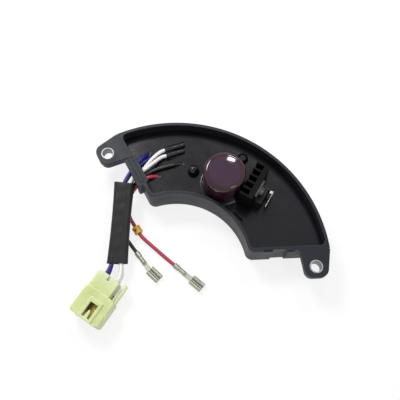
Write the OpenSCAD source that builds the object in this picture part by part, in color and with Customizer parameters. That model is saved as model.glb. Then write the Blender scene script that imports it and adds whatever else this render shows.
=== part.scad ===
// Arc shaped automatic voltage regulator: a potted electronics tray with two
// bolt ears, a wiring harness, a latched plug and two blade terminals.
// It lies on its flat back, open potted face up. Millimetres, +Z up.

/* [Housing] */
// centre distance of the two ear holes
hole_pitch = 123; // [122:0.5:124]
// radius of the circle that the ear holes lie on
hole_circle_r = 70.1; // [69.6:0.1:70.8]
// radius of the convex outer wall
outer_r = 78; // [77.5:0.25:79]
// radius of the concave inner wall
inner_r = 37.3; // [36.5:0.1:38]
// height of the tray from back to rim
tray_h = 17; // [16.8:0.1:18]
// thickness of the curved walls
wall = 1.6; // [1.4:0.1:1.8]
// thickness of the two end walls
end_wall = 2.2; // [2:0.1:2.4]
// thickness of the back
floor_t = 1.8; // [1.4:0.1:2]
// direction of the end walls from the symmetry axis, degrees
end_angle = 57.5; // [57:0.25:58]
// distance of the end walls' outer faces inside that radial line
end_offset = 4.1; // [3.9:0.1:4.3]
// corner radius at the concave side
corner_r = 4; // [3:0.25:5]
// corner radius of the pocket at the convex side
pocket_corner_r = 2.5; // [2:0.25:3]

/* [Ears] */
// half the width of an ear
ear_r = 6.1; // [5.8:0.1:6.4]
// distance from the hole to the ear's flat end
ear_tip = 5.5; // [5.2:0.1:5.8]
// radius of the ear's two corners
ear_corner = 4.4; // [4:0.1:4.8]
// fillet between the right ear and the end wall
ear_fillet = 2.2; // [1.6:0.1:2.6]
// thickness of an ear
ear_t = 6; // [5:0.25:7]
// thickness of the ear's full-width upper plate
ear_plate = 3.2; // [2.5:0.1:4]
// set-back of the ear below that plate
ear_step = 0.5; // [0.3:0.1:0.7]
// outside diameter of the metal bushing
bushing_d = 6.7; // [6.5:0.1:7.2]
// bore of the metal bushing
bushing_bore = 5.4; // [5.2:0.1:5.6]

/* [Wire bridge] */
// width of the bridge across the wires
bridge_w = 5; // [4.8:0.1:5.4]
// thickness of the bridge bar
bridge_t = 2; // [1.8:0.1:2.2]
// how far the bridge lies below the rim
bridge_drop = 0.4; // [0.3:0.1:0.6]
// how far the bridge reaches over the pocket
bridge_over = 1.4; // [1:0.1:1.6]
// width of the rib along the bridge
bridge_rib = 2; // [1.6:0.1:2.2]
// width of the wire window under the bridge
window_w = 13.8; // [13.6:0.1:14]
// distance along the end wall from the arc centre to the window's middle
window_at = 54.1; // [54:0.1:54.2]
// width of the pillar at the bridge's free end
pillar_w = 2.2; // [1.8:0.1:2.6]
// how far the pillar reaches down from the rim
pillar_h = 11; // [9:0.5:13]

/* [Potting] */
// height of the resin's surface above the back
resin_z = 10.4; // [10.1:0.1:10.5]
// height of the resin collar around the capacitor
collar_h = 1.3; // [0.8:0.1:1.6]
// radius of the resin ridges over the white wires
ridge_r = 1.7; // [1.5:0.1:1.9]

/* [Circuit board] */
// thickness of the board
board_t = 1.6; // [1.2:0.2:1.8]
// height of the posts under the board
post_h = 2.4; // [2.2:0.1:2.6]
// gap between the board's edge and the pocket walls
board_gap = 1; // [0.6:0.1:1.4]

/* [Capacitor] */
// diameter of the aluminium can
can_d = 21.2; // [20.8:0.1:21.6]
// wall thickness of the shrink sleeve
sleeve_t = 0.25; // [0.2:0.05:0.35]
// height of the can above the board
can_h = 23.6; // [22:0.2:25]
// diameter of the plain disc in the top
disc_d = 16.6; // [15.8:0.2:16.8]
// rise of the domed top above the rim
dome_h = 0.5; // [0.4:0.1:0.8]

/* [Heatsink] */
// height of the heatsink above the board
sink_h = 20; // [18:0.5:22]
// length of the heatsink's base plate
sink_l = 19.8; // [19.4:0.1:20.2]
// thickness of the base plate
sink_base = 2.6; // [2.4:0.1:2.8]
// depth of the fins
fin_depth = 4.6; // [4.2:0.1:4.7]
// thickness of one fin
fin_t = 1; // [0.8:0.1:1.2]
// number of fins
fin_n = 6; // [5:1:7]

/* [Leads] */
// diameter of every insulated wire
wire_d = 2; // [1.9:0.05:2]
// width of the flattened protective sleeve
tube_w = 11; // [10.8:0.1:11.4]
// height of the flattened protective sleeve
tube_h = 5.6; // [5.4:0.1:5.8]
// wall thickness of the protective sleeve
tube_t = 0.5; // [0.4:0.05:0.55]
// diameter of the marker ring on the red wire
marker_d = 4.8; // [4.2:0.1:5]
// length of the marker ring
marker_l = 4.4; // [3.6:0.1:4.6]

/* [Plug] */
// width of the plug's hood
hood_w = 16.8; // [16.6:0.1:17.2]
// height of the plug
hood_h = 12.4; // [12.2:0.1:12.8]
// overall length of the plug
plug_l = 26.7; // [26:0.1:27.5]
// width of the narrow rear part
rear_w = 12.5; // [12.2:0.1:12.8]
// how far the hood's shoulder lies behind the wire end
rear_l = 11.5; // [11:0.1:12]
// radius of the plug's upright corners
plug_r = 1.6; // [1.2:0.1:1.8]
// wall thickness of the hood
hood_t = 1.1; // [1:0.05:1.2]
// width of the latch window
latch_w = 4.6; // [4.2:0.1:4.8]
// width of the blades in the plug
blade_w = 4.8; // [4.4:0.1:5]
// thickness of the blades in the plug
blade_t = 0.8; // [0.7:0.1:0.9]

/* [Blade terminals] */
// width of a terminal's body
term_w = 5.2; // [5:0.1:5.6]
// length of a terminal's body
term_l = 7.2; // [6.8:0.1:7.6]
// height of a terminal's body
term_h = 2.2; // [2:0.1:2.4]
// sheet thickness of a terminal
term_t = 0.45; // [0.4:0.05:0.5]

/* [Hidden] */
$fn = 96;

// plan frame: origin at the arc's centre, +Y along the symmetry axis
wall_offset = end_offset + end_wall;
pocket_ro = outer_r - wall;
pocket_ri = inner_r + wall;
hole_x = hole_pitch / 2;
hole_y = sqrt(hole_circle_r * hole_circle_r - hole_x * hole_x);
function along(s) = [s * sin(end_angle), cos(end_angle)];
function inward(s) = [-s * cos(end_angle), sin(end_angle)];
function at_end(s, u, w) = u * along(s) + w * inward(s);
function flat(p, z) = [p[0], p[1], z];
// the lowest point of the plan is the bottom of the rounded inner corner
corner_u = sqrt(pow(inner_r + corner_r, 2) - pow(end_offset + corner_r, 2));
low_y = at_end(1, corner_u, end_offset + corner_r)[1] - corner_r;
arc_shift = (outer_r + low_y) / 2;

// small overlap where a round meets a straight edge
touch = 0.005;

board_z = floor_t + post_h;
top_z = board_z + board_t;
can_r = can_d / 2;
cap_r = can_r + sleeve_t;
cap_x = -1;
cap_y = inner_r + 14;
rim_h = can_h - dome_h;
roll_r = 2;
sink_x = 17.7;
sink_y = 55.8;
fin_x = sink_x - sink_base - fin_depth;
chip_y = 53.4;
tab_t = 1.3;
body_t = 4.6;
body_z = top_z + 3.4;
tab_h = 15.2;
body_h = tab_h - 6;
tab_w = 10;
screw_z = body_z + tab_h - 2.8;
screw_d = 3;
wire_r = wire_d / 2;
// a place on the board: degrees from the symmetry axis, distance inside the outer wall's face
function spot(a, d) = [(outer_r - d) * sin(a), (outer_r - d) * cos(a)];
ohm_at = spot(-23.3, 9.8);
ohm_turn = 25;
ohm_l = 12;
ohm_d = 3.6;
ohm_span = 14.8;
ohm_lead = 0.8;
clip_t = 0.4;
clip_w = 9.4;
clip_x = sink_x + 7.2;
clip_z = body_z + body_h - 0.8;
finger_w = 1.8;
post_d = 5;
posts = [spot(-50, 12.7), spot(50, 12.7), spot(-10.3, 10.9), spot(33, 9), [0, inner_r + 5.9]];
lead_d = 0.7;
bead_at = [-18.2, inner_r + 12.4];
bead_r = 3;
bead_h = 6;
mini_r = 2.8;
mini_h = 6.6;
mini_at = [1.2, (cap_y + cap_r + pocket_ro) / 2 - 0.1];
chip_at = spot(38, 12.5);
chip_l = 9.6;
chip_w = 6.4;
diode_at = (inner_r + 14) * [sin(43), cos(43)];
diode_l = 8.4;
diode_w = 6.4;
trunk_u = 62.6;
latch_x = 1.2;
hood_x = 0.3;
rear_x = -1.35;
rear_u = 2;

// wire levels under the bridge, one row above the other
upper_z = 13.75;
lower_z = 11.6;
// the protective sleeve's end points
tube_a = [-46.1, 25, 12.6];
tube_b = [-27.4, -13, 6.1];
// the plug's rear middle, its turn, its blade columns and rows
plug_at = [-24.8, -18.6, 0];
plug_turn = -4;
col_l = -4.2;
col_r = 2.9;
row_lo = 3.6;
row_hi = 8.8;
blade_u = 5;
barrel_r = 1.6;
function plug_pt(v, u, z) = [plug_at[0] + v * cos(plug_turn) + u * sin(plug_turn),
    plug_at[1] + v * sin(plug_turn) - u * cos(plug_turn), z];
// the blade terminals: start of the wire crimp, direction in plan, wire height
red_at = [-2.2, 2, 1.5];
red_turn = -10;
black_at = [-22.9, -2.1, 1.5];
black_turn = -23;
black_bend = 9;
grip_l = 3;
function ahead(p, a, d) = [p[0] + d * cos(a), p[1] + d * sin(a), p[2]];

// routes from the end inside the resin to the far end, plan frame
blue_route_1 = [[-44.5, 47.2, 9.1], [-45, 44.4, 11], [-45.5, 41.6, 12.9], [-45.9, 38, 13.75],
    [-46.2, 34.2, 13.75], [-46.3, 30.6, 13.7], [-46.2, 27.8, 13.7], [-45.85, 24.94, 13.65],
    [-41.87, 15.1, 12.05], [-37.89, 5.25, 10.46], [-33.9, -4.6, 8.86], [-29.92, -14.44, 7.27],
    plug_pt(col_l, 0.4, row_hi - 0.4), plug_pt(col_l, 2.5, row_hi),
    plug_pt(col_l, blade_u, row_hi)];
blue_route_2 = [[-41.8, 46.2, 9.3], [-42.6, 43.9, 10.4], [-43.4, 41.6, 11.5], [-44.9, 38, 11.6],
    [-45.9, 34.4, 11.5], [-46.3, 30.8, 11.5], [-46.3, 28, 11.55], [-45.99, 25.23, 11.55],
    [-42.01, 15.39, 9.9], [-38.04, 5.56, 8.24], [-34.06, -4.28, 6.59], [-30.08, -14.12, 4.93],
    plug_pt(col_l, 0.4, row_lo + 0.4), plug_pt(col_l, 2.5, row_lo),
    plug_pt(col_l, blade_u, row_lo)];
white_route_1 = [[-36.2, 54.2, 11.7], [-37.6, 52, 12], [-39, 49.8, 12.3], [-40.8, 44, 12],
    [-41.5, 39, 11.6], [-42, 35.4, 11.5], [-42.7, 32, 11.5], [-43.3, 29.4, 11.5],
    [-43.45, 28.05, 11.5], [-43.3, 26.7, 11.5], [-42.87, 25.45, 11.42], [-38.96, 16.9, 9.9],
    [-34.54, 7.28, 8.24], [-30.11, -2.34, 6.59], [-25.69, -11.96, 4.93], [-23.7, -14.9, 4.3],
    [-22.4, -17.7, 3.75], plug_pt(col_r, 2.5, row_lo), plug_pt(col_r, blade_u, row_lo)];
white_route_2 = [[-33.6, 51.6, 11.7], [-35.2, 49.6, 12], [-36.8, 47.6, 12.3], [-38.8, 41.4, 13.7],
    [-40.4, 36.8, 13.75], [-41.9, 33.4, 13.7], [-42.75, 31.2, 13.7], [-43.3, 29.4, 13.65],
    [-43.45, 28.05, 13.6], [-43.3, 26.7, 13.6], [-42.87, 25.45, 13.52], [-38.82, 16.6, 12.05],
    [-34.39, 6.97, 10.46], [-29.96, -2.65, 8.86], [-25.53, -12.28, 7.27], [-23.7, -14.9, 7.9],
    [-22.4, -17.7, 8.45], plug_pt(col_r, 2.5, row_hi), plug_pt(col_r, blade_u, row_hi)];
red_route = [[-32.7, 38.5, 9], [-34.4, 36.8, 10.4], [-36.1, 35.1, 11.8], [-37.5, 33.2, 12.3],
    [-38.5, 31, 12.1], [-39.5, 28, 11.1], [-40.7, 24.8, 8.9], [-40.4, 18.4, 5.9], [-36, 12.4, 3.6],
    [-32.4, 10.2, 2.8], [-28.8, 8.4, 2.6], [-25.2, 6.6, 2.4], [-16, 4.6, 1.9],
    ahead(red_at, red_turn, -6), red_at, ahead(red_at, red_turn, grip_l)];
black_route = [[-25.6, 51, 9.2], [-27.6, 49, 10.4], [-29.6, 47, 11.6], [-35.4, 40.8, 11.65],
    [-39, 35.4, 11.6], [-40.2, 32.2, 11.6], [-40.8, 30.4, 11.4], [-41.7, 28.2, 10],
    [-42.6, 26.2, 8.4], [-43.4, 23.6, 7.3], [-43.4, 18.6, 6.2], [-41, 11.4, 4.6], [-36, 4.2, 2.8],
    ahead(black_at, black_turn, -6), black_at, ahead(black_at, black_turn, grip_l)];

// small helpers
function unit(v) = v / norm(v);
function ring_dir(p, i) = unit(p[min(i + 1, len(p) - 1)] - p[max(i - 1, 0)]);

module place() {
    translate([0, -arc_shift, 0])
        children();
}

// straight round bar from p to q
module bar(p, q, r) {
    d = q - p;
    translate(p)
        rotate([0, acos(d[2] / norm(d)), atan2(d[1], d[0])])
            cylinder(h = norm(d), r = r);
}

// round wire along a route, one ring of corners at each of its points
module wire(p, r, n = 8) {
    rings = [for (i = [0 : len(p) - 1])
        let (t = ring_dir(p, i), a = unit(cross(t, [0, 0, 1])), b = cross(a, t))
            for (k = [0 : n - 1]) p[i] + r * (cos(360 * k / n) * a + sin(360 * k / n) * b)];
    m = len(p) - 1;
    sides = [for (i = [0 : m - 1]) for (k = [0 : n - 1]) for (h = [0, 1])
        let (q = (k + 1) % n)
            h == 0 ? [i * n + k, i * n + q, (i + 1) * n + q]
                   : [i * n + k, (i + 1) * n + q, (i + 1) * n + k]];
    caps = [[for (k = [n - 1 : -1 : 0]) k], [for (k = [0 : n - 1]) m * n + k]];
    polyhedron(points = rings, faces = concat(sides, caps), convexity = 6);
}

// plan outline of the arc with square ends, rounded at its inner corners
module arc_plan(ro, ri, off, rin, rout) {
    apex = [0, off / sin(end_angle)];
    difference() {
        intersection() {
            circle(r = ro);
            polygon([apex, apex + 130 * along(1), [0, 240], apex + 130 * along(-1)]);
        }
        circle(r = ri);
        for (s = [-1, 1]) {
            ui = sqrt(pow(ri + rin, 2) - pow(off + rin, 2));
            ci = at_end(s, ui, off + rin);
            difference() {
                polygon([ci, at_end(s, ui, off), at_end(s, ui, off - 1),
                    at_end(s, sqrt(ri * ri - off * off) - 2, off - 1), ci * (ri - 2) / (ri + rin),
                    ci * ri / (ri + rin)]);
                translate(ci)
                    circle(r = rin + touch);
            }
            if (rout > 0) {
                uo = sqrt(pow(ro - rout, 2) - pow(off + rout, 2));
                co = at_end(s, uo, off + rout);
                difference() {
                    polygon([co, at_end(s, uo, off), at_end(s, uo, off - 1),
                        at_end(s, ro + 6, off - 1), co * 1.09, co * ro / (ro - rout)]);
                    translate(co)
                        circle(r = rout + touch);
                }
            }
        }
    }
}

// tangent point on the ear's round end, seen from p, on side k
function tangent_pt(c, r, p, k) =
    let (d = p - c, a = atan2(d[1], d[0]) + k * acos(r / norm(d)))
        c + r * [cos(a), sin(a)];

// plan outline of one ear and the trunk that carries it
module ear_plan(s, inset) {
    e = along(s);
    o = -inward(s);
    c = [s * hole_x, hole_y];
    r = ear_corner - inset;
    rt = r - touch;
    ca = c + (ear_r - ear_corner) * e + (ear_tip - ear_corner) * o;
    cb = c - (ear_r - ear_corner) * e + (ear_tip - ear_corner) * o;
    po = at_end(s, sqrt(pow(outer_r - inset, 2) - pow(end_offset + inset, 2)), end_offset + inset);
    pi = at_end(s, trunk_u + inset, end_offset);
    ti = tangent_pt(cb, rt, pi, s);
    for (p = [ca, cb])
        translate(p)
            circle(r = r);
    polygon([po, tangent_pt(ca, rt, po, -s), ca + rt * o, cb + rt * o, ti, pi + unit(pi - ti),
        at_end(s, trunk_u + 9.4, end_offset + 1)]);
    if (s > 0) {
        d = unit(ti - pi);
        half = acos(-e * d) / 2;
        fc = pi + ear_fillet / sin(half) * unit(d - e);
        t1 = pi - ear_fillet / tan(half) * e;
        t2 = pi + ear_fillet / tan(half) * d;
        difference() {
            polygon([fc, t1, t1 - o, pi - o + e, t2 + e, t2]);
            translate(fc)
                circle(r = ear_fillet + touch);
        }
    }
}

// plan outline of the bridge with a round free corner
module bridge_plan() {
    u0 = window_at - window_w / 2 - pillar_w;
    w0 = wall_offset - bridge_w;
    rr = 1;
    for (p = [[u0 + rr, trunk_u + 0.8, w0, wall_offset], [u0, trunk_u + 0.8, w0 + rr, wall_offset]])
        polygon([at_end(-1, p[0], p[2]), at_end(-1, p[1], p[2]), at_end(-1, p[1], p[3]),
            at_end(-1, p[0], p[3])]);
    translate(at_end(-1, u0 + rr, w0 + rr))
        circle(r = rr + touch);
}

module end_block(s, u0, u1, w0, w1, z0, z1) {
    translate([0, 0, z0])
        linear_extrude(z1 - z0)
            polygon([at_end(s, u0, w0), at_end(s, u1, w0), at_end(s, u1, w1), at_end(s, u0, w1)]);
}

// moulded tray with its ears, wire bridge, board posts and end wall panels
module housing() {
    u0 = window_at - window_w / 2;
    u1 = window_at + window_w / 2;
    w0 = wall_offset - bridge_w;
    rib_w = (w0 + wall_offset + bridge_over) / 2;
    color([0.17, 0.17, 0.19])
    place()
    union() {
        difference() {
            union() {
                linear_extrude(tray_h)
                    arc_plan(outer_r, inner_r, end_offset, corner_r, 0.8);
                for (s = [-1, 1]) {
                    translate([0, 0, tray_h - ear_plate])
                        linear_extrude(ear_plate)
                            ear_plan(s, 0);
                    translate([0, 0, tray_h - ear_t])
                        linear_extrude(ear_t - ear_plate)
                            ear_plan(s, ear_step);
                }
                translate([0, 0, tray_h - bridge_t])
                    linear_extrude(bridge_t - bridge_drop)
                        bridge_plan();
                translate([0, 0, tray_h - pillar_h])
                    linear_extrude(pillar_h - bridge_drop)
                        intersection() {
                            bridge_plan();
                            polygon([at_end(-1, u0 - pillar_w - 1, w0 - 1), at_end(-1, u0 - 0.2, w0 - 1),
                                at_end(-1, u0 - 0.2, wall_offset - 1),
                                at_end(-1, u0 - pillar_w - 1, wall_offset - 1)]);
                        }
                // raised panel on the right end wall
                end_block(1, 56.8, 60.4, end_offset - 0.7, end_offset + 0.5, 5, tray_h - 0.6);
            }
            // pocket for the board and the resin
            difference() {
                translate([0, 0, floor_t])
                    linear_extrude(tray_h)
                        arc_plan(pocket_ro, pocket_ri, wall_offset, corner_r - wall, pocket_corner_r);
                for (p = posts)
                    translate([p[0], p[1], 0])
                        cylinder(h = board_z, d = post_d);
            }
            // wire window under the bridge
            end_block(-1, u0, u1, end_offset - 2, wall_offset + 1, resin_z, tray_h - bridge_t);
            // the wall's top is lowered with the bridge
            end_block(-1, u0 - pillar_w, trunk_u - 0.4, end_offset - 4, wall_offset + 1,
                tray_h - bridge_drop, tray_h + 1);
            // sunk panel and rim notch on the right end wall
            end_block(1, 49.2, 56.4, end_offset - 1, end_offset + 0.8, -1, tray_h + 1);
            end_block(1, 44.4, 49.2, end_offset - 1, end_offset + 0.8, tray_h - 1.2, tray_h + 1);
            for (s = [-1, 1])
                translate([s * hole_x, hole_y, 0])
                    cylinder(h = tray_h + 1, d = bushing_d);
        }
        // the bridge reaches over the pocket and has a rib along its middle
        end_block(-1, u0 - pillar_w + 1, trunk_u - 0.2, wall_offset - 0.6, wall_offset + bridge_over,
            tray_h - bridge_t, tray_h - bridge_drop);
        end_block(-1, u0 - pillar_w + 2, trunk_u + 0.4, rib_w - bridge_rib / 2, rib_w + bridge_rib / 2,
            tray_h - bridge_t + 0.5, tray_h - bridge_drop + 0.3);
    }
}

module bushing(s) {
    place()
    translate([s * hole_x, hole_y, tray_h - ear_t])
        difference() {
            cylinder(h = ear_t, d = bushing_d);
            translate([0, 0, -1])
                cylinder(h = ear_t + 2, d = bushing_bore);
        }
}

module left_bushing() {
    color([0.8, 0.8, 0.8])
        bushing(-1);
}

module right_bushing() {
    color([0.8, 0.8, 0.8])
        bushing(1);
}

// round hole in the resin for a wire's end
module wire_hole(r) {
    place()
        bar(r[0], r[1] + 1.6 * (r[1] - r[0]), wire_r);
}

// black resin that fills the tray round everything on the board
module potting_resin() {
    color([0.1, 0.1, 0.11])
    difference() {
        place()
        union() {
            translate([0, 0, floor_t])
                linear_extrude(resin_z - floor_t)
                    arc_plan(pocket_ro, pocket_ri, wall_offset, corner_r - wall, pocket_corner_r);
            // collar drawn up around the capacitor
            translate([cap_x, cap_y, resin_z])
                rotate_extrude()
                    difference() {
                        translate([cap_r - 1, -1])
                            square([collar_h + 1, collar_h + 1]);
                        translate([cap_r + collar_h, collar_h])
                            circle(r = collar_h);
                    }
            // ridges where the resin runs up over the white wires
            bar([-37.6, 52, 12], [-30.4, 61, 10.2], ridge_r);
            bar([-35.2, 49.6, 12], [-28.6, 57.6, 10.2], ridge_r);
        }
        for (p = posts)
            place()
                translate([p[0], p[1], 0])
                    cylinder(h = board_z, d = post_d);
        wire_hole(blue_route_1);
        wire_hole(blue_route_2);
        wire_hole(white_route_1);
        wire_hole(white_route_2);
        wire_hole(red_route);
        wire_hole(black_route);
        // narrow mark in the surface near the concave wall
        place()
            bar([11.4, inner_r + 3.2, resin_z], [17.7, inner_r + 1.1, resin_z], 0.45);
        circuit_board();
        place()
        translate([cap_x, cap_y, top_z])
            cylinder(h = can_h, r = cap_r);
        capacitor_pins();
        heatsink();
        transistor_body();
        transistor_tab();
        transistor_leads();
        spring_clip();
        dipped_capacitor();
        small_capacitor();
        rectifier_bridge();
        power_resistor();
        control_chip();
    }
}

// board holes: x, y, diameter
board_holes = concat(
    [for (k = [-5, 5]) [cap_x + k, cap_y, 1.2]],
    [for (k = [-6, 6]) [sink_x - sink_base / 2, sink_y + k, 1.4]],
    [for (k = [-2.54, 0, 2.54]) [sink_x + 2.4, chip_y + k, 1]],
    [for (k = [-1, 1]) [bead_at[0] + k * bead_r / 2, bead_at[1], lead_d]],
    [for (k = [-1, 1]) [mini_at[0] + k * mini_r / 2, mini_at[1], lead_d]],
    [for (k = [-1, 1]) [ohm_at[0] + k * ohm_span / 2 * cos(ohm_turn),
        ohm_at[1] + k * ohm_span / 2 * sin(ohm_turn), ohm_lead]]);

// two leads through the board under a small part
module board_leads(p, r) {
    for (k = [-1, 1])
        translate([p[0] + k * r / 2, p[1], floor_t + 0.8])
            cylinder(h = top_z + 0.5 - floor_t - 0.8, d = lead_d);
}

module circuit_board() {
    color([0.35, 0.28, 0.1])
    place()
    translate([0, 0, board_z])
        linear_extrude(board_t)
            difference() {
                arc_plan(pocket_ro - board_gap, pocket_ri + board_gap, wall_offset + board_gap,
                    corner_r - wall, pocket_corner_r);
                for (p = board_holes)
                    translate([p[0], p[1]])
                        circle(d = p[2]);
                translate([clip_x, chip_y])
                    square([clip_t, 6], center = true);
            }
}

// aluminium can, turned in at the top under the sleeve
module capacitor_can() {
    color([0.75, 0.75, 0.76])
    place()
    translate([cap_x, cap_y, top_z])
        rotate_extrude()
            difference() {
                square([can_r, rim_h - sleeve_t]);
                translate([can_r - roll_r, rim_h - sleeve_t - roll_r])
                    difference() {
                        square([roll_r + 1, roll_r + 1]);
                        circle(r = roll_r);
                    }
                translate([-1, rim_h - sleeve_t - 0.5])
                    square([disc_d / 2 + 1, 1]);
            }
}

// shrink sleeve round the can, rolled in over its shoulder
module capacitor_sleeve() {
    color([0.33, 0.17, 0.22])
    place()
    translate([cap_x, cap_y, top_z])
        rotate_extrude()
            difference() {
                square([cap_r, rim_h]);
                translate([cap_r - roll_r - sleeve_t, rim_h - roll_r - sleeve_t])
                    difference() {
                        square([roll_r + sleeve_t + 1, roll_r + sleeve_t + 1]);
                        circle(r = roll_r + sleeve_t);
                    }
                translate([-1, -1])
                    square([can_r + 1, rim_h - sleeve_t - roll_r + 1]);
                translate([-1, -1])
                    square([can_r - roll_r + 1, rim_h - sleeve_t + 1]);
                translate([can_r - roll_r, rim_h - sleeve_t - roll_r])
                    circle(r = roll_r);
                translate([-1, -1])
                    square([disc_d / 2 + 1, rim_h + 2]);
            }
}

// slightly domed disc in the rolled rim
module capacitor_disc() {
    base = rim_h - sleeve_t - 0.5;
    rise = dome_h + 0.1;
    ball = (disc_d * disc_d / 4 + rise * rise) / (2 * rise);
    color([0.32, 0.24, 0.32])
    place()
    translate([cap_x, cap_y, top_z])
        rotate_extrude()
            intersection() {
                translate([0, base])
                    square([disc_d / 2, dome_h + 2]);
                translate([0, can_h - ball])
                    circle(r = ball, $fn = 360);
            }
}

module capacitor_pins() {
    color([0.8, 0.8, 0.78])
    place()
    for (k = [-5, 5])
        translate([cap_x + k, cap_y, floor_t + 0.8])
            cylinder(h = top_z - floor_t - 0.8, d = 1.2);
}

// extruded heatsink: base plate, fins towards the capacitor, two board pins
module heatsink() {
    pitch = (sink_l - fin_t) / (fin_n - 1);
    color([0.09, 0.09, 0.1])
    place()
    difference() {
        union() {
            translate([sink_x - sink_base, sink_y - sink_l / 2, top_z])
                cube([sink_base, sink_l, sink_h]);
            for (i = [0 : fin_n - 1])
                translate([fin_x, sink_y - sink_l / 2 + i * pitch, top_z])
                    cube([fin_depth + 0.5, fin_t, sink_h]);
            for (k = [-6, 6])
                translate([sink_x - sink_base / 2, sink_y + k, floor_t + 0.8])
                    cylinder(h = top_z - floor_t, d = 1.4);
        }
        translate([sink_x - sink_base - 1, chip_y, screw_z])
            rotate([0, 90, 0])
                cylinder(h = sink_base + 2, d = screw_d);
    }
}

module transistor_body() {
    color([0.12, 0.12, 0.13])
    place()
    translate([sink_x, chip_y - tab_w / 2, body_z])
        difference() {
            cube([body_t, tab_w, body_h]);
            translate([-1, -1, -1])
                cube([tab_t + 1, tab_w + 2, body_h + 2]);
        }
}

module transistor_tab() {
    color([0.78, 0.77, 0.74])
    place()
    difference() {
        translate([sink_x, chip_y - tab_w / 2, body_z])
            cube([tab_t, tab_w, tab_h]);
        translate([sink_x - 1, chip_y, screw_z])
            rotate([0, 90, 0])
                cylinder(h = tab_t + 2, d = screw_d);
    }
}

module transistor_leads() {
    color([0.8, 0.8, 0.78])
    place()
    for (k = [-2.54, 0, 2.54])
        translate([sink_x + 2.1, chip_y + k - 0.35, floor_t + 0.8])
            cube([0.6, 0.7, body_z - floor_t - 0.8]);
}

// pan head screw that holds the transistor's tab to the heatsink
module tab_screw() {
    color([0.8, 0.8, 0.78])
    place()
    translate([sink_x - sink_base, chip_y, screw_z])
        rotate([0, 90, 0]) {
            cylinder(h = sink_base + tab_t, d = screw_d);
            translate([0, 0, sink_base + tab_t])
                difference() {
                    cylinder(h = 1.9, d1 = 5.6, d2 = 4.6);
                    for (a = [0, 90])
                        rotate(a)
                            translate([-1.5, -0.35, 1])
                                cube([3, 0.7, 1]);
                }
        }
}

// sprung strip that stands on the board, with a finger that presses on the transistor
module spring_clip() {
    x0 = sink_x + body_t;
    xc = clip_x - clip_t / 2;
    y1 = chip_y + clip_w / 2;
    color([0.82, 0.82, 0.8])
    place()
    union() {
        translate([xc, chip_y - clip_w / 2, top_z])
            cube([clip_t, clip_w, clip_z - top_z]);
        translate([0, y1, 0])
            rotate([90, 0, 0])
                linear_extrude(finger_w)
                    polygon([[xc + clip_t, clip_z], [x0 + 2 * clip_t, clip_z - clip_t],
                        [x0, clip_z - 5 * clip_t], [x0, clip_z - 7 * clip_t],
                        [x0 + clip_t, clip_z - 7 * clip_t], [x0 + clip_t, clip_z - 5 * clip_t],
                        [x0 + 3 * clip_t, clip_z - 2 * clip_t], [xc + clip_t, clip_z - clip_t]]);
        translate([xc, chip_y - 3, floor_t + 0.8])
            cube([clip_t, 6, top_z - floor_t]);
    }
}

// bead shaped dipped component that stands out of the resin
module dipped_capacitor() {
    color([0.05, 0.05, 0.05])
    place()
    union() {
        translate([bead_at[0], bead_at[1], top_z]) {
            cylinder(h = bead_h, r = bead_r);
            translate([0, 0, bead_h])
                rotate_extrude()
                    intersection() {
                        circle(r = bead_r);
                        square([bead_r, bead_r]);
                    }
        }
        board_leads(bead_at, bead_r);
    }
}

// small can whose cap stands just out of the resin
module small_capacitor() {
    color([0.2, 0.2, 0.21])
    place()
    union() {
        translate([mini_at[0], mini_at[1], top_z])
            rotate_extrude()
                difference() {
                    square([mini_r, mini_h]);
                    translate([mini_r - 0.7, mini_h - 0.7])
                        difference() {
                            square([1, 1]);
                            circle(r = 0.7);
                        }
                }
        board_leads(mini_at, mini_r);
    }
}

module rectifier_bridge() {
    color([0.1, 0.1, 0.1])
    place()
    translate([diode_at[0], diode_at[1], top_z])
        union() {
            translate([-diode_l / 2, -diode_w / 2, 0.4])
                cube([diode_l, diode_w, 3.3]);
            for (x = [-0.3, 0.3])
                for (y = [-diode_w / 2 - 0.4, diode_w / 2])
                    translate([x * diode_l - 0.5, y, 0])
                        cube([1, 0.4, 2]);
        }
}

module power_resistor() {
    z = top_z + ohm_d / 2 + 0.5;
    color([0.7, 0.66, 0.5])
    place()
    union() {
        translate([ohm_at[0], ohm_at[1], z])
            rotate([0, 90, ohm_turn])
                translate([0, 0, -ohm_l / 2])
                    cylinder(h = ohm_l, d = ohm_d);
        for (k = [-1, 1]) {
            p = ohm_at + k * ohm_span / 2 * [cos(ohm_turn), sin(ohm_turn)];
            translate([p[0], p[1], floor_t + 0.8])
                cylinder(h = z + ohm_lead / 2 - floor_t - 0.8, d = ohm_lead);
            translate([ohm_at[0], ohm_at[1], z])
                rotate([0, 90, ohm_turn])
                    translate([0, 0, k > 0 ? ohm_l / 2 - 0.2 : -ohm_span / 2])
                        cylinder(h = (ohm_span - ohm_l) / 2 + 0.2, d = ohm_lead - 0.2);
        }
    }
}

module control_chip() {
    color([0.08, 0.08, 0.08])
    place()
    translate([chip_at[0], chip_at[1], top_z])
        union() {
            translate([-chip_l / 2, -chip_w / 2, 0.4])
                cube([chip_l, chip_w, 3.2]);
            for (k = [-1.5 : 1 : 1.5])
                for (y = [-chip_w / 2 - 0.5, chip_w / 2])
                    translate([k * 2.54 - 0.3, y, 0])
                        cube([0.6, 0.5, 2]);
        }
}

module blue_wire_1() {
    color([0.14, 0.17, 0.55])
    place()
        wire(blue_route_1, wire_r);
}

module blue_wire_2() {
    color([0.14, 0.17, 0.55])
    place()
        wire(blue_route_2, wire_r);
}

module white_wire_1() {
    color([0.93, 0.93, 0.93])
    place()
        wire(white_route_1, wire_r);
}

module white_wire_2() {
    color([0.93, 0.93, 0.93])
    place()
        wire(white_route_2, wire_r);
}

module red_wire() {
    color([0.65, 0.08, 0.14])
    place()
        wire(red_route, wire_r);
}

module black_wire() {
    color([0.05, 0.05, 0.05])
    place()
        wire(black_route, wire_r);
}

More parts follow.
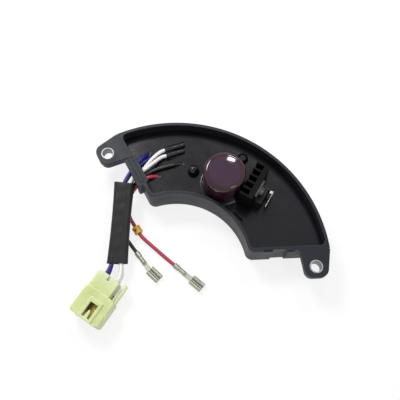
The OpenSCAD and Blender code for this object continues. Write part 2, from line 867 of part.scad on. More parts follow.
// flat round ended bar along the sleeve's line, the sleeve is one with another cut out of it
module tube_core(w, h, over) {
    line = tube_b - tube_a;
    translate(tube_a - over * unit(line))
        rotate([0, acos(line[2] / norm(line)), atan2(line[1], line[0])])
            linear_extrude(norm(line) + 2 * over)
                hull()
                    for (k = [-1, 1])
                        translate([0, k * (w - h) / 2])
                            circle(d = h, $fn = 32);
}

module wire_sleeve() {
    color([0.06, 0.06, 0.065])
    place()
    difference() {
        tube_core(tube_w, tube_h, 0);
        tube_core(tube_w - 2 * tube_t, tube_h - 2 * tube_t, 1);
    }
}

module wire_marker() {
    d = unit(red_route[11] - red_route[9]);
    c = red_route[10];
    color([0.85, 0.6, 0.1])
    place()
    difference() {
        bar(c - marker_l / 2 * d, c + marker_l / 2 * d, marker_d / 2);
        bar(c - marker_l * d, c + marker_l * d, wire_r + 0.05);
    }
}

// plug in its own frame: rear face at y = 0, mouth at y = -plug_l
module plug_frame() {
    translate(plug_at)
        rotate(plug_turn)
            children();
}

module block(x0, x1, u0, u1, z0, z1) {
    translate([x0, -u1, z0])
        cube([x1 - x0, u1 - u0, z1 - z0]);
}

cells = [[col_l, row_hi], [col_l, row_lo], [col_r, row_lo], [col_r, row_hi]];

// block with round upright corners
module round_block(x0, x1, u0, u1, z0, z1, r) {
    translate([0, 0, z0])
        linear_extrude(z1 - z0)
            hull()
                for (x = [x0 + r, x1 - r])
                    for (u = [u0 + r, u1 - r])
                        translate([x, -u])
                            circle(r = r, $fn = 32);
}

module plug_housing() {
    x0 = hood_x - hood_w / 2;
    x1 = hood_x + hood_w / 2;
    la = latch_x - latch_w / 2;
    lb = latch_x + latch_w / 2;
    color([0.82, 0.86, 0.55])
    place()
    plug_frame()
    difference() {
        union() {
            round_block(x0, x1, rear_l, plug_l, 0, hood_h, plug_r);
            round_block(rear_x - rear_w / 2, rear_x + rear_w / 2, rear_u, rear_l + 4, 0.6,
                hood_h - 0.6, plug_r);
            // raised frame round the latch window
            block(la - 1.5, lb + 1.5, 15.4, plug_l, hood_h - 1, hood_h + 0.7);
            // release lever at the side
            round_block(x1 - 1.8, x1, 1.2, rear_l + 3, 4.4, 8.4, 0.8);
        }
        // mouth
        block(x0 + hood_t, x1 - hood_t, rear_l + 3, plug_l + 1, hood_t, hood_h - hood_t);
        // wire holes and blade slots
        for (c = cells) {
            translate([c[0], 1, c[1]])
                rotate([90, 0, 0])
                    cylinder(h = 11, r = barrel_r);
            block(c[0] - blade_w / 2, c[0] + blade_w / 2, 8.5, rear_l + 4, c[1] - blade_t / 2,
                c[1] + blade_t / 2);
        }
        // latch window, with a ramp left standing in it
        difference() {
            block(la, lb, 17.6, plug_l - 1.2, hood_h - 2, hood_h + 2);
            translate([0, 0, hood_h - hood_t])
                linear_extrude(1.5)
                    polygon([[latch_x - 0.4, -21.4], [latch_x + 0.4, -21.4],
                        [latch_x + 1.2, -plug_l], [latch_x - 1.2, -plug_l]]);
        }
        // notch between the wire holes
        block(-1.4, 0.2, -1, rear_u + 3, hood_h - 1.8, hood_h);
    }
}

// crimped blade inside the plug
module plug_blade(c) {
    color([0.8, 0.78, 0.7])
    place()
    plug_frame()
    union() {
        translate([c[0], -blade_u, c[1]])
            rotate([90, 0, 0])
                cylinder(h = 10 - blade_u, r = barrel_r);
        translate([0, 0, c[1] - blade_t / 2])
            linear_extrude(blade_t)
                polygon([[c[0] - blade_w / 2, -8.6], [c[0] + blade_w / 2, -8.6],
                    [c[0] + blade_w / 2, -22], [c[0] + blade_w / 2 - 1, -23.6],
                    [c[0] - blade_w / 2 + 1, -23.6], [c[0] - blade_w / 2, -22]]);
    }
}

module plug_blade_1() {
    plug_blade(cells[0]);
}

module plug_blade_2() {
    plug_blade(cells[1]);
}

module plug_blade_3() {
    plug_blade(cells[2]);
}

module plug_blade_4() {
    plug_blade(cells[3]);
}

// receptacle with two rolled rails, a neck and two crimps, along +X, its body bent by b
module blade_terminal(p, a, b) {
    rail = term_h / 2;
    neck_w = 2.4;
    color([0.78, 0.77, 0.7])
    place()
    translate([p[0], p[1], p[2]])
        rotate(a)
            union() {
                // crimp round the insulation
                rotate([0, 90, 0])
                    difference() {
                        cylinder(h = grip_l, r = wire_r + 0.45);
                        translate([0, 0, -1])
                            cylinder(h = grip_l + 1, r = wire_r);
                    }
                // crimp round the bare strands
                translate([grip_l, 0, 0])
                    rotate([0, 90, 0])
                        cylinder(h = 3.8, r = neck_w / 2);
                // neck
                translate([grip_l + 3, 0, -1.2])
                    linear_extrude(term_t + 0.2)
                        polygon([[0, -neck_w / 2], [4, -neck_w / 2 - 0.1], [6.2, -term_w / 2 + rail + 0.1],
                            [6.2, term_w / 2 - rail - 0.1], [4, neck_w / 2 + 0.1], [0, neck_w / 2]]);
                // body: back sheet and the two rails rolled over it
                translate([grip_l + 8.6, 0, -1.2])
                    rotate([90, 0, 90 + b])
                        linear_extrude(term_l)
                            union() {
                                translate([-term_w / 2 + rail + 0.3, 0])
                                    square([term_w - 2 * rail - 0.6, term_t]);
                                for (k = [-1, 1])
                                    translate([k * (term_w / 2 - rail), rail - 0.05])
                                        difference() {
                                            circle(r = rail);
                                            circle(r = rail - term_t);
                                        }
                            }
            }
}

module red_terminal() {
    blade_terminal(red_at, red_turn, 0);
}

module black_terminal() {
    blade_terminal(black_at, black_turn, black_bend);
}

housing();
left_bushing();
right_bushing();
potting_resin();
circuit_board();
capacitor_can();
capacitor_sleeve();
capacitor_disc();
capacitor_pins();
heatsink();
transistor_body();
transistor_tab();
transistor_leads();
tab_screw();
spring_clip();
dipped_capacitor();
small_capacitor();
rectifier_bridge();
power_resistor();
control_chip();
blue_wire_1();
blue_wire_2();
white_wire_1();
white_wire_2();
red_wire();
black_wire();
wire_sleeve();
wire_marker();
plug_housing();
plug_blade_1();
plug_blade_2();
plug_blade_3();
plug_blade_4();
red_terminal();
black_terminal();
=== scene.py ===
"""Looks of the arc-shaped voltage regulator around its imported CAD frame."""

import math

import bmesh
import bpy
from mathutils import Matrix, Vector


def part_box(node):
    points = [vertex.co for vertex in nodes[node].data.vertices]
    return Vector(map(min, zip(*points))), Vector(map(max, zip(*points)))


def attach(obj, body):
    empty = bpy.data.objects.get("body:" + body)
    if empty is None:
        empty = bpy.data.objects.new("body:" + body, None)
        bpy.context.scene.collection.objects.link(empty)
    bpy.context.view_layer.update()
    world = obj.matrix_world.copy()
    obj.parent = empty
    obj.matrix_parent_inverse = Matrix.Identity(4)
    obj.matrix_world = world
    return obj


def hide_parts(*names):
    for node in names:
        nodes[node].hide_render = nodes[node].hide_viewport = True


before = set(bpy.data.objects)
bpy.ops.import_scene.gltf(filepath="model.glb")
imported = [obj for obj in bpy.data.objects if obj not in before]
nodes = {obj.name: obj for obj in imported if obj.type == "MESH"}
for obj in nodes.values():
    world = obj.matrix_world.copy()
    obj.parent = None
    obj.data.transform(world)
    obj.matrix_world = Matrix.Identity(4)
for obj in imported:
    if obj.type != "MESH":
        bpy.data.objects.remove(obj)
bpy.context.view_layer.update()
scene = bpy.context.scene
scene.view_settings.view_transform = "Standard"

# camera fitted to the photograph
CAMERA_AT = (0.0402, -0.104303, 0.296337)
CAMERA_RIGHT = (0.868854, 0.494911, 0.012507)
CAMERA_UP = (-0.469885, 0.816437, 0.335617)
CAMERA_BACK = (0.155889, -0.297479, 0.941916)
cam_data = bpy.data.cameras.new("camera")
cam_data.sensor_width = 36.0
cam_data.lens = 51.73
cam = bpy.data.objects.new("camera", cam_data)
turn = Matrix((CAMERA_RIGHT, CAMERA_UP, CAMERA_BACK)).transposed().to_4x4()
cam.matrix_world = Matrix.Translation(CAMERA_AT) @ turn
scene.collection.objects.link(cam)
scene.camera = cam

# plan frame of the routes: millimetres, origin at the arc's centre
OUTER_R = 0.078
SHIFT = OUTER_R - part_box("housing")[1].y
WIRE = 0.002
PLUG_AT, PLUG_TURN = (-24.8, -18.6), -4
RED_AT, RED_TURN = (-2.2, 2, 1.5), -10
BLACK_AT, BLACK_TURN = (-22.9, -2.1, 1.5), -23
COL_L, COL_R, ROW_LO, ROW_HI = -4.2, 2.9, 3.6, 8.8
MARKER_STEP = 10  # point of the red wire's route that carries the marker
PLUG_REAR_Y, BLADE_TAIL_Y = -28, -31.2  # where the plug turns paler and the blades' tails begin
SLEEVE_TOP, SLEEVE_END = (-46.1, 25, 12.6), (-27.4, -13, 6.1)
SLEEVE_SIDE = (0.897, 0.442, 0)
SLEEVE_W, SLEEVE_WAIST, SLEEVE_H, SLEEVE_T = 5.42, 0.55, 2.66, 0.36  # half width, its loss, half height, wall


def place(p):
    """Plan point in millimetres to a model point in metres."""
    return Vector((p[0] / 1000, p[1] / 1000 - SHIFT, p[2] / 1000))


def plug_pt(v, u, z):
    """Plan point at v across the plug and u along it from its rear."""
    a = math.radians(PLUG_TURN)
    return (PLUG_AT[0] + v * math.cos(a) + u * math.sin(a), PLUG_AT[1] + v * math.sin(a) - u * math.cos(a), z)


def ahead(p, deg, d):
    """Point at distance d from p in the direction deg."""
    a = math.radians(deg)
    return (p[0] + d * math.cos(a), p[1] + d * math.sin(a), p[2])


# the wires' routes, as in the part's source
ROUTES = {
    "blue_wire_1": [
        (-44.5, 47.2, 9.1), (-45, 44.4, 11), (-45.5, 41.6, 12.9), (-45.9, 38, 13.75),
        (-46.2, 34.2, 13.75), (-46.3, 30.6, 13.7), (-46.2, 27.8, 13.7), (-45.85, 24.94, 13.65),
        (-41.87, 15.1, 12.05), (-37.89, 5.25, 10.46), (-33.9, -4.6, 8.86), (-29.92, -14.44, 7.27),
        plug_pt(COL_L, 0.4, ROW_HI - 0.4), plug_pt(COL_L, 2.5, ROW_HI), plug_pt(COL_L, 5, ROW_HI)],
    "blue_wire_2": [
        (-41.8, 46.2, 9.3), (-42.6, 43.9, 10.4), (-43.4, 41.6, 11.5), (-44.9, 38, 11.6),
        (-45.9, 34.4, 11.5), (-46.3, 30.8, 11.5), (-46.3, 28, 11.55), (-45.99, 25.23, 11.55),
        (-42.01, 15.39, 9.9), (-38.04, 5.56, 8.24), (-34.06, -4.28, 6.59), (-30.08, -14.12, 4.93),
        plug_pt(COL_L, 0.4, ROW_LO + 0.4), plug_pt(COL_L, 2.5, ROW_LO), plug_pt(COL_L, 5, ROW_LO)],
    "white_wire_1": [
        (-36.2, 54.2, 11.7), (-37.6, 52, 12), (-39, 49.8, 12.3), (-40.8, 44, 12), (-41.5, 39, 11.6),
        (-42, 35.4, 11.5), (-42.7, 32, 11.5), (-43.3, 29.4, 11.5), (-43.45, 28.05, 11.5),
        (-43.3, 26.7, 11.5), (-42.87, 25.45, 11.42), (-38.96, 16.9, 9.9), (-34.54, 7.28, 8.24),
        (-30.11, -2.34, 6.59), (-25.69, -11.96, 4.93), (-23.7, -14.9, 4.3), (-22.4, -17.7, 3.75),
        plug_pt(COL_R, 2.5, ROW_LO), plug_pt(COL_R, 5, ROW_LO)],
    "white_wire_2": [
        (-33.6, 51.6, 11.7), (-35.2, 49.6, 12), (-36.8, 47.6, 12.3), (-38.8, 41.4, 13.7),
        (-40.4, 36.8, 13.75), (-41.9, 33.4, 13.7), (-42.75, 31.2, 13.7), (-43.3, 29.4, 13.65),
        (-43.45, 28.05, 13.6), (-43.3, 26.7, 13.6), (-42.87, 25.45, 13.52), (-38.82, 16.6, 12.05),
        (-34.39, 6.97, 10.46), (-29.96, -2.65, 8.86), (-25.53, -12.28, 7.27), (-23.7, -14.9, 7.9),
        (-22.4, -17.7, 8.45), plug_pt(COL_R, 2.5, ROW_HI), plug_pt(COL_R, 5, ROW_HI)],
    "red_wire": [
        (-32.7, 38.5, 9), (-34.4, 36.8, 10.4), (-36.1, 35.1, 11.8), (-37.5, 33.2, 12.3),
        (-38.5, 31, 12.1), (-39.5, 28, 11.1), (-40.7, 24.8, 8.9), (-40.4, 18.4, 5.9), (-36, 12.4, 3.6),
        (-32.4, 10.2, 2.8), (-28.8, 8.4, 2.6), (-25.2, 6.6, 2.4), (-16, 4.6, 1.9),
        ahead(RED_AT, RED_TURN, -6), RED_AT, ahead(RED_AT, RED_TURN, 3)],
    "black_wire": [
        (-25.6, 51, 9.2), (-27.6, 49, 10.4), (-29.6, 47, 11.6), (-35.4, 40.8, 11.65), (-39, 35.4, 11.6),
        (-40.2, 32.2, 11.6), (-40.8, 30.4, 11.4), (-41.7, 28.2, 10), (-42.6, 26.2, 8.4), (-43.4, 23.6, 7.3),
        (-43.4, 18.6, 6.2), (-41, 11.4, 4.6), (-36, 4.2, 2.8), ahead(BLACK_AT, BLACK_TURN, -6),
        BLACK_AT, ahead(BLACK_AT, BLACK_TURN, 3)],
}


def smooth_line(points, per=6):
    """Points on a centripetal spline through a route."""
    p = [place(q) for q in points]
    p = [p[0] * 2 - p[1]] + p + [p[-1] * 2 - p[-2]]
    out = []
    for i in range(1, len(p) - 2):
        a, b, c, d = p[i - 1], p[i], p[i + 1], p[i + 2]
        t0 = 0.0
        t1 = t0 + max((b - a).length ** 0.5, 1e-6)
        t2 = t1 + max((c - b).length ** 0.5, 1e-6)
        t3 = t2 + max((d - c).length ** 0.5, 1e-6)
        for k in range(per):
            t = t1 + (t2 - t1) * k / per
            e = a * ((t1 - t) / (t1 - t0)) + b * ((t - t0) / (t1 - t0))
            f = b * ((t2 - t) / (t2 - t1)) + c * ((t - t1) / (t2 - t1))
            g = c * ((t3 - t) / (t3 - t2)) + d * ((t - t2) / (t3 - t2))
            h = e * ((t2 - t) / (t2 - t0)) + f * ((t - t0) / (t2 - t0))
            j = f * ((t3 - t) / (t3 - t1)) + g * ((t - t1) / (t3 - t1))
            out.append(h * ((t2 - t) / (t2 - t1)) + j * ((t - t1) / (t2 - t1)))
    out.append(p[-2])
    return out


def wire(node, mat):
    """Round wire along its route, in place of its CAD node."""
    line = smooth_line(ROUTES[node])
    data = bpy.data.curves.new(node + "_line", "CURVE")
    data.dimensions = "3D"
    data.bevel_depth = WIRE / 2
    data.bevel_resolution = 4
    data.use_fill_caps = True
    spline = data.splines.new("POLY")
    spline.points.add(len(line) - 1)
    for point, co in zip(spline.points, line):
        point.co = (*co, 1)
    spline.use_smooth = True
    obj = bpy.data.objects.new(node + "_cord", data)
    scene.collection.objects.link(obj)
    data.materials.append(mat)
    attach(obj, "root")
    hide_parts(node)
    return obj


# materials
class Mat:
    """Small builder for one node material around a Principled shader."""

    def __init__(self, name):
        self.m = bpy.data.materials.new(name)
        self.m.use_nodes = True
        self.t = self.m.node_tree
        self.b = self.t.nodes["Principled BSDF"]
        self.co = self.t.nodes.new("ShaderNodeTexCoord").outputs["Object"]

    def set(self, **kw):
        for k, v in kw.items():
            self.b.inputs[k.replace("_", " ")].default_value = v
        return self

    def link(self, a, b):
        self.t.links.new(a, b)

    def noise(self, scale, detail=3, rough=0.55, stretch=None):
        co = self.co
        if stretch:
            m = self.t.nodes.new("ShaderNodeMapping")
            m.inputs["Scale"].default_value = stretch
            self.link(co, m.inputs["Vector"])
            co = m.outputs["Vector"]
        n = self.t.nodes.new("ShaderNodeTexNoise")
        n.inputs["Scale"].default_value = scale
        n.inputs["Detail"].default_value = detail
        n.inputs["Roughness"].default_value = rough
        self.link(co, n.inputs["Vector"])
        return n.outputs["Fac"]

    def ramp(self, fac, stops):
        r = self.t.nodes.new("ShaderNodeValToRGB")
        e = r.color_ramp.elements
        for i, (pos, col) in enumerate(stops):
            if i > 1:
                e.new(pos)
            e[i].position = pos
            e[i].color = (*col, 1)
        self.link(fac, r.inputs["Fac"])
        return r.outputs["Color"]

    def spread(self, fac, lo, hi, a=0.3, b=0.7):
        r = self.t.nodes.new("ShaderNodeMapRange")
        for k, v in zip(("From Min", "From Max", "To Min", "To Max"), (a, b, lo, hi)):
            r.inputs[k].default_value = v
        self.link(fac, r.inputs["Value"])
        return r.outputs["Result"]

    def mix(self, fac, a, b, kind="MIX"):
        n = self.t.nodes.new("ShaderNodeMix")
        n.data_type = "RGBA"
        n.blend_type = kind
        for sock, v in zip((n.inputs[0], n.inputs[6], n.inputs[7]), (fac, a, b)):
            if isinstance(v, (int, float)):
                sock.default_value = v
            elif isinstance(v, tuple):
                sock.default_value = (*v, 1)
            else:
                self.link(v, sock)
        return n.outputs[2]

    def vector(self, kind, a, *more):
        """Vector Math node of a socket and of sockets or fixed vectors."""
        n = self.t.nodes.new("ShaderNodeVectorMath")
        n.operation = kind
        for sock, v in zip(n.inputs, (a, *more)):
            if isinstance(v, (tuple, Vector)):
                sock.default_value = v
            else:
                self.link(v, sock)
        return n.outputs

    def along_y(self):
        cut = self.t.nodes.new("ShaderNodeSeparateXYZ")
        self.link(self.co, cut.inputs[0])
        return cut.outputs["Y"]

    def round(self, radius, samples=8):
        """Normal that softens the solid's edges."""
        bev = self.t.nodes.new("ShaderNodeBevel")
        bev.samples = samples
        bev.inputs["Radius"].default_value = radius
        return bev.outputs[0]

    def edge(self, radius=0.0004):
        """1 along the outside edges of a solid, from a bevel normal against the true one; the lighter colour
        mixed in there is partly edge wear and partly a painted highlight.
        """
        geo = self.t.nodes.new("ShaderNodeNewGeometry")
        dot = self.vector("DOT_PRODUCT", self.round(radius, 6), geo.outputs["Normal"])
        return self.spread(dot["Value"], 1.0, 0.0, 0.72, 0.98)

    def hidden(self, distance):
        """1 in the open, 0 deep inside."""
        ao = self.t.nodes.new("ShaderNodeAmbientOcclusion")
        ao.samples = 8
        ao.inputs["Distance"].default_value = distance
        return ao.outputs["AO"]

    def bump(self, height, strength, distance=0.0003, normal=None):
        n = self.t.nodes.new("ShaderNodeBump")
        n.inputs["Strength"].default_value = strength
        n.inputs["Distance"].default_value = distance
        self.link(height, n.inputs["Height"])
        if normal:
            self.link(normal, n.inputs["Normal"])
        self.link(n.outputs["Normal"], self.b.inputs["Normal"])
        return n.outputs["Normal"]

    def color(self, sock):
        self.link(sock, self.b.inputs["Base Color"])
        return self

    def rough(self, sock):
        self.link(sock, self.b.inputs["Roughness"])
        return self


def plastic(name, dark, light, scale=120, rough=(0.35, 0.5), grain=0.12, grain_scale=2500, edge=None,
            soft=0.0, **kw):
    m = Mat(name)
    base = m.ramp(m.noise(scale, 4), [(0.3, dark), (0.7, light)])
    # lighter colour along the edges: partly wear, partly a painted highlight
    if edge:
        base = m.mix(m.edge(), base, edge)
    m.color(base)
    m.rough(m.spread(m.noise(scale * 2.3, 3), *rough))
    m.bump(m.noise(grain_scale, 2), grain, 0.00008, m.round(soft) if soft else None)
    return m.set(**kw).m


def metal(name, dark, light, rough=(0.2, 0.38), stretch=(1, 1, 8), scale=400, bump=0.08, soft=0.0002):
    m = Mat(name)
    m.color(m.ramp(m.noise(scale, 4, 0.6, stretch), [(0.25, dark), (0.75, light)]))
    m.rough(m.spread(m.noise(scale * 0.6, 3, 0.5, stretch), *rough))
    m.bump(m.noise(scale * 4, 2, 0.5, stretch), bump, 0.00005, m.round(soft))
    return m.set(Metallic=1.0).m


MAT = {
    "tray": plastic("tray_plastic", (0.009, 0.0092, 0.0115), (0.013, 0.0135, 0.017), 60, (0.43, 0.54),
                    0.15, 2200, edge=(0.036, 0.038, 0.046), soft=0.0005, Specular_IOR_Level=0.27,
                    Specular_Tint=(0.84, 0.88, 1, 1)),
    "steel": metal("bushing_steel", (0.2, 0.2, 0.2), (0.36, 0.36, 0.36), (0.5, 0.62)),
    "tin": metal("tinned_brass", (0.26, 0.27, 0.22), (0.42, 0.43, 0.35), (0.36, 0.5), (1, 1, 1), 900, 0.03),
    "dull": metal("dull_tin", (0.03, 0.03, 0.028), (0.09, 0.09, 0.08), (0.3, 0.5), (1, 1, 1), 700),
    "clip": metal("spring_steel", (0.14, 0.135, 0.11), (0.42, 0.4, 0.32), (0.25, 0.4), (1, 1, 6), 500),
    "alu": metal("can_aluminium", (0.45, 0.45, 0.46), (0.62, 0.62, 0.63), (0.3, 0.45)),
    "sink": plastic("black_anodised", (0.0014, 0.0014, 0.0014), (0.003, 0.003, 0.0032), 200, (0.5, 0.65),
                    0.1, 3000, edge=(0.014, 0.014, 0.015), soft=0.0002, Specular_IOR_Level=0.09),
    "epoxy": plastic("black_epoxy", (0.003, 0.003, 0.003), (0.008, 0.008, 0.008), 500, (0.3, 0.45),
                     0.2, 4000, edge=(0.02, 0.02, 0.02), soft=0.0003, Specular_IOR_Level=0.3),
    "bead": plastic("glossy_bead", (0.002, 0.002, 0.002), (0.004, 0.004, 0.004), 300, (0.05, 0.1), 0.02, 600,
                    soft=0.0003, IOR=1.42),
    "board": plastic("board_laminate", (0.2, 0.14, 0.05), (0.28, 0.2, 0.08), 900, (0.4, 0.55), 0.1, 3000),
    "ohm": plastic("resistor_body", (0.42, 0.38, 0.28), (0.5, 0.46, 0.36), 500, (0.5, 0.7), 0.2, 3000),
    "film": plastic("maroon_film", (0.026, 0.006, 0.011), (0.036, 0.009, 0.015), 90, (0.06, 0.12), 0.04, 500,
                    IOR=1.41),
    "disc": plastic("plum_disc", (0.033, 0.012, 0.031), (0.041, 0.015, 0.037), 180, (0.05, 0.09), 0.02, 500,
                    IOR=1.4),
    "blue": plastic("blue_insulation", (0.009, 0.011, 0.13), (0.014, 0.017, 0.19), 300, (0.35, 0.5), 0.08, 2500,
                    Specular_IOR_Level=0.38),
    "white": plastic("white_insulation", (0.66, 0.66, 0.66), (0.78, 0.78, 0.77), 300, (0.4, 0.55), 0.08, 2500),
    "red": plastic("red_insulation", (0.3, 0.022, 0.04), (0.42, 0.035, 0.065), 300, (0.35, 0.5), 0.08, 2500),
    "black": plastic("black_insulation", (0.004, 0.004, 0.004), (0.008, 0.008, 0.008), 300, (0.35, 0.5),
                     0.08, 2500),
    "amber": plastic("amber_plastic", (0.5, 0.22, 0.012), (0.72, 0.38, 0.04), 500, (0.3, 0.45), 0.1, 2500,
                     edge=(0.75, 0.6, 0.15)),
}


def resin_material():
    m = Mat("potting_resin")
    m.color(m.ramp(m.noise(70, 4), [(0.3, (0.002, 0.002, 0.0022)), (0.7, (0.0045, 0.0045, 0.005))]))
    m.rough(m.spread(m.noise(160, 4), 0.18, 0.26))
    wide = m.bump(m.noise(38, 2, 0.4), 0.35, 0.0012, m.round(0.0007))
    m.bump(m.noise(260, 2), 0.03, 0.0002, wide)
    return m.set(IOR=1.37, Specular_Tint=(0.92, 0.9, 1, 1)).m


def sleeve_material():
    m = Mat("sleeve_plastic")
    m.color(m.ramp(m.noise(150, 4), [(0.3, (0.006, 0.006, 0.007)), (0.7, (0.012, 0.012, 0.0135))]))
    m.rough(m.spread(m.noise(220, 3), 0.36, 0.5))
    m.bump(m.noise(900, 3), 0.12, 0.0002)
    return m.set(IOR=1.37).m


def nylon_material():
    m = Mat("natural_nylon")
    base = m.ramp(m.noise(110, 3), [(0.3, (0.5, 0.56, 0.24)), (0.7, (0.6, 0.66, 0.33))])
    # darker amber in the plug's hollows, from ambient occlusion: painted shade
    ao_painted_shade = m.ramp(m.hidden(0.006), [(0.04, (0.44, 0.34, 0.06)), (0.34, (1, 1, 1))])
    base = m.mix(1.0, base, ao_painted_shade, "MULTIPLY")
    # paler edges: painted light showing through the thin nylon at its edges
    base = m.mix(m.edge(0.0006), base, (0.76, 0.8, 0.56))
    rear = place((0, PLUG_REAR_Y, 0)).y
    m.color(m.mix(m.spread(m.along_y(), 0.0, 0.55, rear, rear + 0.008), base, (0.72, 0.76, 0.6)))
    m.rough(m.spread(m.noise(250, 3), 0.3, 0.42))
    m.bump(m.noise(1800, 2), 0.06, 0.0001, m.round(0.0006))
    m.set(Subsurface_Weight=0.5, Subsurface_Scale=0.003, IOR=1.5)
    m.b.inputs["Subsurface Radius"].default_value = (1.0, 1.0, 0.45)
    return m.m


def ring_can_material():
    """Small can: resin-grey top inside a near-black ring, which is painted shade of the gap round the top."""
    lo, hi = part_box("small_capacitor")
    m = Mat("small_can")
    flat = m.vector("MULTIPLY_ADD", m.co, (1, 1, 0), (-(lo.x + hi.x) / 2, -(lo.y + hi.y) / 2, 0))
    size = m.vector("LENGTH", flat[0])
    r = (hi.x - lo.x) / 2
    # near-black ring round the top: painted shade of the gap
    ring = m.spread(size["Value"], 0.0, 1.0, 0.56 * r, 0.62 * r)
    top = m.ramp(m.noise(300, 3), [(0.3, (0.026, 0.026, 0.027)), (0.7, (0.036, 0.036, 0.037))])
    m.color(m.mix(ring, top, (0.0006, 0.0006, 0.0006)))
    m.rough(m.spread(m.noise(500, 3), 0.3, 0.45))
    m.bump(ring, 0.6, 0.0006, m.round(0.0004))
    return m.set(Specular_IOR_Level=0.02).m


def brass_material():
    """Brass of the plug's blades. The tails have the plug's colour, as two of them break through its side."""
    m = Mat("blade_brass")
    base = m.ramp(m.noise(700, 4, 0.6), [(0.25, (0.24, 0.18, 0.04)), (0.75, (0.4, 0.31, 0.09))])
    tail = place((0, BLADE_TAIL_Y, 0)).y
    m.color(m.mix(m.spread(m.along_y(), 0.0, 1.0, tail, tail + 0.001), base, (0.5, 0.56, 0.3)))
    m.rough(m.spread(m.noise(420, 3), 0.4, 0.55))
    m.bump(m.noise(2800, 2), 0.03, 0.00005, m.round(0.0002))
    return m.set(Metallic=1.0).m


MAT["brass"] = brass_material()
MAT["resin"] = resin_material()
MAT["ring_can"] = ring_can_material()
MAT["sleeve"] = sleeve_material()
MAT["nylon"] = nylon_material()


def piece(name, verts, faces, mat, *hides):
    """Mesh piece on the body that stands for the CAD nodes it hides."""
    mesh = bpy.data.meshes.new(name)
    mesh.from_pydata([tuple(v) for v in verts], [], faces)
    mesh.update()
    bm = bmesh.new()
    bm.from_mesh(mesh)
    bmesh.ops.recalc_face_normals(bm, faces=bm.faces)
    bm.to_mesh(mesh)
    bm.free()
    mesh.shade_smooth()
    mesh.materials.append(mat)
    obj = bpy.data.objects.new(name, mesh)
    scene.collection.objects.link(obj)
    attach(obj, "root")
    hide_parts(*hides)
    return obj


def loops(rings):
    """Quads between rings of equal count, with the last ring joined to the first."""
    n, m = len(rings[0]), len(rings)
    verts = [v for ring in rings for v in ring]
    faces = []
    for i in range(m):
        for k in range(n):
            q, j = (k + 1) % n, (i + 1) % m
            faces.append((i * n + k, i * n + q, j * n + q, j * n + k))
    return verts, faces


def soft_sleeve():
    """Flattened sleeve: waisted, rippled over its four wires, with cut ends a little askew."""
    a, b = place(SLEEVE_TOP), place(SLEEVE_END)
    axis = (b - a).normalized()
    side = Vector(SLEEVE_SIDE)
    side = (side - axis * side.dot(axis)).normalized()
    rise = side.cross(axis)
    rise = rise if rise.z > 0 else -rise
    span = (b - a).length
    across, along = 72, 90

    def section(t, hw, hh, power, ripple):
        ring = []
        for k in range(across):
            f = 2 * math.pi * k / across
            c, d = math.cos(f), math.sin(f)
            x = hw * math.copysign(abs(c) ** (2 / power), c)
            y = hh * math.copysign(abs(d) ** (2 / power), d)
            fold = math.sin(31 * t + 0.9 * x) * math.sin(12 * t - 0.5 * x + 1.3)
            y += ripple * d * (math.cos(2 * math.pi * (x - 1.15) / 2.3) * 0.9 + fold)
            skew = (0.25 * x / hw) * (1 - 2 * t) + 0.12 * math.sin(3 * f) * (t - 0.5)
            ring.append(a + axis * (t * span + skew / 1000) + side * (x / 1000) + rise * (y / 1000))
        return ring

    def half_width(t):
        return SLEEVE_W - SLEEVE_WAIST * math.sin(math.pi * t) ** 0.7 + 0.1 * t

    steps = [0.004 + 0.992 * i / along for i in range(along + 1)]
    outer = [section(t, half_width(t), SLEEVE_H, 2.8, 0.1) for t in steps]
    inner = [section(t, half_width(t) - SLEEVE_T, SLEEVE_H - SLEEVE_T, 3.4, 0.0) for t in reversed(steps)]
    verts, faces = loops(outer + inner)
    obj = piece("sleeve_skin", verts, faces, MAT["sleeve"], "wire_sleeve")
    return obj


def marker_ring():
    """Barrel shaped ring with a flange at each end, threaded on the red wire."""
    around = 48
    before, c, after = (place(p) for p in ROUTES["red_wire"][MARKER_STEP - 1:MARKER_STEP + 2])
    d = (after - before).normalized()
    u = d.orthogonal().normalized()
    v = d.cross(u)
    half = [(0.5, 2.2), (1.0, 2.26), (1.35, 2.36), (1.75, 2.3), (2.05, 2.0), (2.18, 1.6), (2.15, 1.06)]
    outline = [(-p, q) for p, q in reversed(half)] + half
    rings = [[c + d * (p / 1000) + (u * math.cos(t) + v * math.sin(t)) * (q / 1000)
              for t in (2 * math.pi * k / around for k in range(around))] for p, q in outline]
    verts, faces = loops(rings)
    m = Mat("marker_amber")
    dot = m.vector("DOT_PRODUCT", m.vector("SUBTRACT", m.co, c)[0], d * 400)
    size = m.t.nodes.new("ShaderNodeMath")
    size.operation = "ABSOLUTE"
    m.link(dot["Value"], size.inputs[0])
    base = m.ramp(size.outputs[0], [(0.35, (0.54, 0.24, 0.016)), (0.68, (0.54, 0.44, 0.055))])
    base = m.mix(m.spread(m.noise(700, 3), 0.0, 0.5), base, (0.5, 0.2, 0.01))
    # small dark spot on the ring's side: painted shade of a hole
    hole_shade_spot = m.vector("DISTANCE", m.co, c + Vector((-0.00044, -0.0011, 0.00206)))
    m.color(m.mix(m.spread(hole_shade_spot["Value"], 1.0, 0.0, 0.0004, 0.0008), base, (0.03, 0.012, 0.002)))
    m.rough(m.spread(m.noise(300, 3), 0.3, 0.45))
    m.bump(m.noise(1500, 2), 0.08, 0.0001)
    obj = piece("marker_skin", verts, faces, m.m, "wire_marker")
    return obj


sleeve = soft_sleeve()
marker = marker_ring()

# wires, each as long as its route
wire("blue_wire_1", MAT["blue"])
wire("blue_wire_2", MAT["blue"])
wire("white_wire_1", MAT["white"])
wire("white_wire_2", MAT["white"])
wire("red_wire", MAT["red"])
wire("black_wire", MAT["black"])

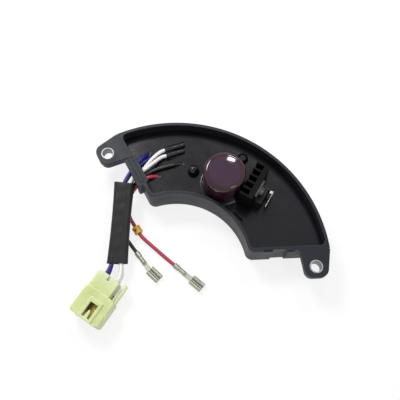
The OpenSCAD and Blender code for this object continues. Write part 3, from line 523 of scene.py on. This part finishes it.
LOOK = {
    "housing": "tray", "left_bushing": "steel", "right_bushing": "steel", "potting_resin": "resin",
    "circuit_board": "board", "capacitor_can": "alu", "capacitor_sleeve": "film", "capacitor_disc": "disc",
    "capacitor_pins": "tin", "heatsink": "sink", "transistor_body": "epoxy", "transistor_tab": "dull",
    "transistor_leads": "tin", "tab_screw": "dull", "spring_clip": "clip", "dipped_capacitor": "bead",
    "small_capacitor": "ring_can", "rectifier_bridge": "epoxy", "power_resistor": "ohm",
    "control_chip": "epoxy", "blue_wire_1": "blue", "blue_wire_2": "blue", "white_wire_1": "white",
    "white_wire_2": "white", "red_wire": "red", "black_wire": "black", "wire_sleeve": "sleeve",
    "wire_marker": "amber", "plug_housing": "nylon", "plug_blade_1": "brass", "plug_blade_2": "brass",
    "plug_blade_3": "brass", "plug_blade_4": "brass", "red_terminal": "tin", "black_terminal": "tin",
}
for name, look in LOOK.items():
    data = nodes[name].data
    data.materials.clear()
    data.materials.append(MAT[look])


# floor, world and soft light
def seen_rays(tree):
    """1 for camera, glossy and transmission rays, 0 for the rays that light the part."""
    rays = tree.nodes.new("ShaderNodeLightPath").outputs
    found = rays["Is Camera Ray"]
    for kind in ("Is Glossy Ray", "Is Transmission Ray"):
        most = tree.nodes.new("ShaderNodeMath")
        most.operation = "MAXIMUM"
        tree.links.new(found, most.inputs[0])
        tree.links.new(rays[kind], most.inputs[1])
        found = most.outputs[0]
    return found


FLOOR_HALF, FLOOR_Z = 4.0, -0.0002
FLOOR_WHITE = 0.8  # share of plain white in what the camera sees, the rest keeps the shadow
corners = [(-1, -1), (1, -1), (1, 1), (-1, 1)]
floor_mesh = bpy.data.meshes.new("floor")
floor_mesh.from_pydata([(x * FLOOR_HALF, y * FLOOR_HALF, FLOOR_Z) for x, y in corners], [], [(0, 1, 2, 3)])
floor = bpy.data.objects.new("floor", floor_mesh)
scene.collection.objects.link(floor)
floor_mat = bpy.data.materials.new("floor_white")
floor_mat.use_nodes = True
ft = floor_mat.node_tree
ft.nodes.clear()
out = ft.nodes.new("ShaderNodeOutputMaterial")
matte = ft.nodes.new("ShaderNodeBsdfDiffuse")
matte.inputs["Color"].default_value = (0.9, 0.9, 0.9, 1)
white = ft.nodes.new("ShaderNodeEmission")
white.inputs["Strength"].default_value = 1.0
share = ft.nodes.new("ShaderNodeMath")
share.operation = "MULTIPLY"
share.inputs[1].default_value = FLOOR_WHITE
both = ft.nodes.new("ShaderNodeMixShader")
ft.links.new(seen_rays(ft), share.inputs[0])
ft.links.new(share.outputs[0], both.inputs[0])
ft.links.new(matte.outputs[0], both.inputs[1])
ft.links.new(white.outputs[0], both.inputs[2])
ft.links.new(both.outputs[0], out.inputs["Surface"])
floor_mesh.materials.append(floor_mat)

WORLD_LIGHT, WORLD_SEEN = 0.55, 1.0
world = bpy.data.worlds.new("world")
scene.world = world
world.use_nodes = True
wt = world.node_tree
sky = wt.nodes["Background"]
sky.inputs["Color"].default_value = (1, 1, 1, 1)
level = wt.nodes.new("ShaderNodeMapRange")
level.inputs["To Min"].default_value = WORLD_LIGHT
level.inputs["To Max"].default_value = WORLD_SEEN
wt.links.new(seen_rays(wt), level.inputs["Value"])
wt.links.new(level.outputs["Result"], sky.inputs["Strength"])


def lamp(name, at, to, size, watts):
    """Area lamp at one point that faces another."""
    d = bpy.data.lights.new(name, "AREA")
    d.shape = "RECTANGLE"
    d.size, d.size_y = size
    d.energy = watts
    o = bpy.data.objects.new(name, d)
    o.location = at
    o.rotation_euler = (Vector(to) - Vector(at)).to_track_quat("-Z", "Y").to_euler()
    scene.collection.objects.link(o)


lamp("softbox_left", (-0.32, 0.14, 0.435), (-0.05, -0.02, 0), (0.14, 0.14), 2.0)
lamp("softbox_back", (-0.0618, 0.2534, 0.3639), (-0.0009, 0.0081, 0.029), (0.058, 0.024), 0.24)
lamp("softbox_right", (0.4, -0.1, 0.6), (0, -0.02, 0), (0.2, 0.2), 0.8)
